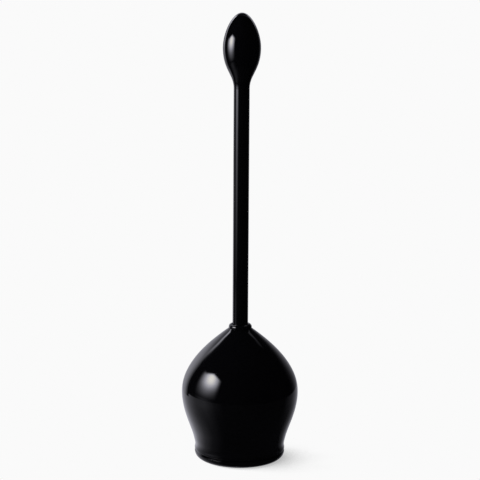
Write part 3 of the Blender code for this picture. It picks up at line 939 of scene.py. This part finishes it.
# The card, and the bright strip in its edge. Heights in metres, azimuths in degrees
CARD_AZIMUTHS = range(112, 234, 4)
CARD_DISTANCE = 0.40
CARD_TOP = 0.63
CARD_TOP_BLEND = (CARD_TOP - 0.01, CARD_TOP + 0.04)
CARD_EDGE_HEIGHTS = (0.28, 0.36)
CARD_EDGE_SHIFT = 8.0
CARD_FOOT_HEIGHT = 0.18
CARD_FOOT_LEVELS = (0.76, 1.06)
CARD_FADE_HEIGHTS = (0.22, 0.38)
CARD_FADE_LEVEL = 0.48
WALL_TOP = 0.90
WALL_AZIMUTHS = (130.0, 140.0)
WALL_LEVEL = 0.95
STRIP_AZIMUTH = 126.0
STRIP_LEAN = 14.0
STRIP_LEAN_HEIGHTS = (0.40, 0.75)
STRIP_SPREAD = 3.3
STRIP_LEVEL = 0.62
STRIP_SWELL_HEIGHT = 0.28
STRIP_SWELL_LENGTH = 0.13
STRIP_MOST_SWELL = 8.0
STRIP_CLIMBS = (0.25, 0.45)
STRIP_LOW_CLIMB_LEVEL = 0.38
STRIP_FOOT_HEIGHTS = (0.24, 0.38)

CAMERA_PLACE = (-0.001, -2.0, 0.675)
CAMERA_DOWN = 10.98
CAMERA_ROLL = 0.35
LENS = 120.15
SENSOR_WIDTH = 36.0


def left_azimuth(tree, direction):
    """The azimuth of a direction, in degrees, and its height.

    The azimuth is 0 towards the camera, 90 to the camera's left and 180 away from it.
    """
    parts = split(tree, direction)
    across = calc(tree, "MULTIPLY", parts[0], -1.0)
    along = calc(tree, "MULTIPLY", parts[1], -1.0)
    return calc(tree, "MULTIPLY", calc(tree, "ARCTAN2", across, along), 180.0 / math.pi), parts[2]


def by_azimuth(tree, azimuth, stops):
    """A grey level that follows the azimuth through (degrees, level) stops."""
    ramp = add_node(tree, "ShaderNodeValToRGB", {0: remap(tree, azimuth, -180.0, 180.0, 0.0, 1.0)})
    ramp.color_ramp.interpolation = "LINEAR"
    elements = ramp.color_ramp.elements
    while len(elements) > 1:
        elements.remove(elements[-1])
    for i, (degrees, level) in enumerate(stops):
        place = (degrees + 180.0) / 360.0
        element = elements[0] if i == 0 else elements.new(place)
        element.position = place
        element.color = (level, level, level, 1.0)
    return ramp.outputs[0]


def bell(tree, value, centre, spread):
    """1 at the centre, falling off evenly to both sides."""
    off = calc(tree, "DIVIDE", calc(tree, "SUBTRACT", value, centre), spread)
    return calc(tree, "EXPONENT", calc(tree, "MULTIPLY", calc(tree, "MULTIPLY", off, off), -0.5))


def travel_of(tree, incoming):
    """The direction a ray was going when it got here."""
    return vector(tree, "SCALE", {0: incoming, "Scale": -1.0})


def make_world():
    """White to the camera, a soft white light, and in reflections a dark studio with a pale back."""
    world = bpy.data.worlds.new("studio")
    bpy.context.scene.world = world
    world.use_nodes = True
    tree = world.node_tree
    tree.nodes.clear()
    direction = add_node(tree, "ShaderNodeTexCoord").outputs["Generated"]
    azimuth, climb = left_azimuth(tree, direction)
    fade = remap(tree, climb, *BACK_FADE, 1.0, BACK_FADE_LEVEL, smooth=True)
    back = calc(tree, "MULTIPLY", by_azimuth(tree, azimuth, BACK_STOPS), fade)
    rise = remap(tree, climb, *LINE_RISE, 0.0, LINE_LEVEL, smooth=True)
    line = calc(tree, "MULTIPLY", bell(tree, azimuth, LINE_AZIMUTH, LINE_SPREAD), rise)
    reflected = calc(tree, "ADD", back, line)
    path = add_node(tree, "ShaderNodeLightPath").outputs
    plain = mix(tree, path["Is Camera Ray"], SOFT_FILL, WHITE)
    level = mix(tree, path["Is Glossy Ray"], plain, reflected)
    colour = blend_colour(tree, path["Is Glossy Ray"], NEUTRAL, COOL)
    background = add_node(tree, "ShaderNodeBackground", {"Strength": level, "Color": colour}).outputs[0]
    add_node(tree, "ShaderNodeOutputWorld", {0: background})


def emissive(name, build):
    """A material that only gives out light. build(tree) returns its level and colour."""
    material = bpy.data.materials.new(name)
    material.use_nodes = True
    tree = material.node_tree
    tree.nodes.clear()
    level, colour = build(tree)
    glow = add_node(tree, "ShaderNodeEmission", {"Strength": level, "Color": colour}).outputs[0]
    add_node(tree, "ShaderNodeOutputMaterial", {0: glow})
    return material


def sheet(name, columns, material):
    """An upright sheet through columns of (x, y, bottom, top), seen only in reflections and as light."""
    vertices = []
    for x, y, bottom, top in columns:
        vertices += [(x, y, bottom), (x, y, top)]
    faces = [(2 * i, 2 * i + 1, 2 * i + 3, 2 * i + 2) for i in range(len(columns) - 1)]
    mesh = bpy.data.meshes.new(name)
    mesh.from_pydata(vertices, [], faces)
    mesh.materials.append(material)
    obj = new_object(name, mesh)
    obj.visible_camera = False
    obj.visible_shadow = False


def towards_left(degrees, distance):
    """The point at that left azimuth and distance from the shaft's axis."""
    angle = math.radians(degrees)
    return -distance * math.sin(angle), -distance * math.cos(angle)


def make_softbox():
    """A tall soft panel at the left, brightest where its lamp stands behind the cloth."""
    x, y = towards_left(SOFTBOX_AZIMUTH, SOFTBOX_DISTANCE)
    angle = math.radians(SOFTBOX_AZIMUTH)
    aside = (math.cos(angle), -math.sin(angle), 0.0)

    def build(tree):
        place = add_node(tree, "ShaderNodeNewGeometry").outputs["Position"]
        offset = vector(tree, "SUBTRACT", {0: place, 1: (x, y, 0.0)})
        across = vector(tree, "DOT_PRODUCT", {0: offset, 1: aside}, "Value")
        height = split(tree, place)[2]
        side = bell(tree, across, HOT_ASIDE, HOT_SPREAD)
        hot = calc(tree, "MULTIPLY", bell(tree, height, HOT_HEIGHT, HOT_SPREAD), HOT_RADIANCE)
        spill = calc(tree, "MULTIPLY", bell(tree, height, SPILL_HEIGHT, SPILL_SPREAD), SPILL_RADIANCE)
        level = calc(tree, "MULTIPLY", side, calc(tree, "ADD", hot, spill))
        to_end = calc(tree, "ABSOLUTE", across)
        ends = remap(tree, to_end, SOFTBOX_END_FADE, SOFTBOX_HALF, 1.0, 0.0, smooth=True)
        top = remap(tree, across, *SOFTBOX_TOP_SLOPE, SOFTBOX_BACK_TOP, SOFTBOX_TOP)
        to_top = calc(tree, "SUBTRACT", top, height)
        under = remap(tree, to_top, 0.0, SOFTBOX_TOP_FADE, 0.0, 1.0, smooth=True)
        level = calc(tree, "MULTIPLY", level, calc(tree, "MULTIPLY", ends, under))
        return level, blend_colour(tree, remap(tree, level, *WARM_LEVELS, 0.0, 1.0), COOL, WARM)

    columns = []
    for side in (-SOFTBOX_HALF, SOFTBOX_HALF):
        columns.append((x + aside[0] * side, y + aside[1] * side, 0.0, SOFTBOX_TOP))
    sheet("softbox", columns, emissive("softbox_cloth", build))


def make_card():
    """A pale curved card close behind the object and to its left, with a bright strip in its edge.

    Above the card is a white wall.
    """

    def build(tree):
        geometry = add_node(tree, "ShaderNodeNewGeometry").outputs
        azimuth, height = left_azimuth(tree, geometry["Position"])
        climb = split(tree, travel_of(tree, geometry["Incoming"]))[2]
        edge_shift = remap(tree, height, *CARD_EDGE_HEIGHTS, 0.0, CARD_EDGE_SHIFT)
        body = by_azimuth(tree, calc(tree, "SUBTRACT", azimuth, edge_shift), CARD_STOPS)
        foot = remap(tree, height, 0.0, CARD_FOOT_HEIGHT, *CARD_FOOT_LEVELS)
        body = calc(tree, "MULTIPLY", body, foot)
        fade = remap(tree, height, *CARD_FADE_HEIGHTS, 1.0, CARD_FADE_LEVEL, smooth=True)
        body = calc(tree, "MULTIPLY", body, fade)
        above = remap(tree, height, *CARD_TOP_BLEND, 0.0, 1.0, smooth=True)
        wall = remap(tree, calc(tree, "ABSOLUTE", azimuth), *WALL_AZIMUTHS, 0.0, WALL_LEVEL, smooth=True)
        centre = remap(tree, height, *STRIP_LEAN_HEIGHTS, STRIP_AZIMUTH, STRIP_AZIMUTH + STRIP_LEAN)
        swell = calc(tree, "SUBTRACT", height, STRIP_SWELL_HEIGHT)
        swell = calc(tree, "EXPONENT", calc(tree, "DIVIDE", swell, STRIP_SWELL_LENGTH))
        swell = calc(tree, "MULTIPLY", calc(tree, "MINIMUM", swell, STRIP_MOST_SWELL), STRIP_LEVEL)
        strip = calc(tree, "MULTIPLY", bell(tree, azimuth, centre, STRIP_SPREAD), swell)
        steep = remap(tree, climb, *STRIP_CLIMBS, STRIP_LOW_CLIMB_LEVEL, 1.0, smooth=True)
        strip = calc(tree, "MULTIPLY", strip, steep)
        start = remap(tree, height, *STRIP_FOOT_HEIGHTS, 0.0, 1.0, smooth=True)
        strip = calc(tree, "MULTIPLY", strip, start)
        return calc(tree, "ADD", mix(tree, above, body, wall), strip), (*COOL, 1.0)

    columns = []
    for degrees in CARD_AZIMUTHS:
        bottom = 0.0 if degrees <= 180 else CARD_TOP
        columns.append((*towards_left(degrees, CARD_DISTANCE), bottom, WALL_TOP))
    sheet("back_card", columns, emissive("card_face", build))


def make_floor():
    """A plain white floor that glows, with a painted shadow, short and soft, to the right of the foot.

    Reflections see a pale sheet that ends, and the floor can't be seen from below.
    """

    def build(tree):
        geometry = add_node(tree, "ShaderNodeNewGeometry").outputs
        path = add_node(tree, "ShaderNodeLightPath").outputs
        azimuth = left_azimuth(tree, travel_of(tree, geometry["Incoming"]))[0]
        radius = vector(tree, "LENGTH", {0: geometry["Position"]}, "Value")
        reach = remap(tree, radius, NEAR_RADIUS, FAR_RADIUS, 0.0, 1.0)
        # Painted light and shade of the floor in reflections, by the direction the ray travels
        near = by_azimuth(tree, azimuth, FLOOR_NEAR)
        far = by_azimuth(tree, azimuth, FLOOR_FAR)
        lit = mix(tree, reach, near, far)
        lit = calc(tree, "MULTIPLY", lit, remap(tree, path["Ray Length"], *DIM_LENGTHS, 1.0, DIM_LEVEL))
        # Painted contact shadow in the floor's reflected glow, close round the foot
        contact_shadow = remap(tree, radius, CONTACT_SHADOW_RADIUS, CONTACT_SHADOW_RADIUS + CONTACT_SHADOW_WIDTH, CONTACT_SHADOW_LEVEL, 1.0)
        lit = calc(tree, "MULTIPLY", lit, contact_shadow)
        past = remap(tree, radius, SHEET_EDGE, SHEET_EDGE + SHEET_EDGE_WIDTH, 0.0, 1.0, smooth=True)
        glow = remap(tree, path["Ray Length"], *FAR_GLOW_LENGTHS, FAR_GLOW, FAR_GLOW_LAST_SHARE * FAR_GLOW)
        glow = calc(tree, "MULTIPLY", bell(tree, azimuth, FAR_GLOW_AZIMUTH, FAR_GLOW_SPREAD), glow)
        beyond = calc(tree, "ADD", by_azimuth(tree, azimuth, BACK_STOPS), glow)
        reflected = mix(tree, past, lit, beyond)
        # Painted shadow: an occlusion test towards LIGHT_SIDE darkens the glow the camera sees
        towards_light = add_node(tree, "ShaderNodeCombineXYZ", dict(enumerate(LIGHT_SIDE))).outputs[0]
        inputs = {"Distance": SHADOW_REACH, "Normal": towards_light}
        shade = add_node(tree, "ShaderNodeAmbientOcclusion", inputs, samples=SHADOW_SAMPLES).outputs["AO"]
        seen = remap(tree, shade, SHADOW_DARK, SHADOW_CLEAR, SHADOW_LEVEL, WHITE)
        plain = mix(tree, path["Is Camera Ray"], SOFT_FILL, seen)
        level = mix(tree, path["Is Glossy Ray"], plain, reflected)
        return level, blend_colour(tree, path["Is Glossy Ray"], NEUTRAL, COOL)

    material = emissive("floor_white", build)
    tree = material.node_tree
    output = next(node for node in tree.nodes if node.type == "OUTPUT_MATERIAL")
    glow = output.inputs[0].links[0].from_socket
    below = add_node(tree, "ShaderNodeNewGeometry").outputs["Backfacing"]
    clear = add_node(tree, "ShaderNodeBsdfTransparent").outputs[0]
    one_sided = add_node(tree, "ShaderNodeMixShader", {0: below, 1: glow, 2: clear}).outputs[0]
    tree.links.new(one_sided, output.inputs[0])
    material.cycles.emission_sampling = "NONE"
    far = FLOOR_REACH
    mesh = bpy.data.meshes.new("floor")
    mesh.from_pydata([(-far, -far, 0), (far, -far, 0), (far, far, 0), (-far, far, 0)], [], [(0, 1, 2, 3)])
    mesh.materials.append(material)
    new_object("floor", mesh)


def make_camera():
    """A long lens two metres away and a little above, looking slightly down."""
    data = bpy.data.cameras.new("camera")
    data.sensor_width = SENSOR_WIDTH
    data.lens = LENS
    camera = new_object("camera", data)
    camera.location = CAMERA_PLACE
    camera.rotation_mode = "XYZ"
    camera.rotation_euler = (math.radians(90.0 - CAMERA_DOWN), 0.0, 0.0)
    camera.rotation_euler.rotate_axis("Z", math.radians(CAMERA_ROLL))
    bpy.context.scene.camera = camera


make_world()
make_softbox()
make_card()
make_floor()
make_camera()
bpy.context.scene.view_settings.view_transform = "Standard"
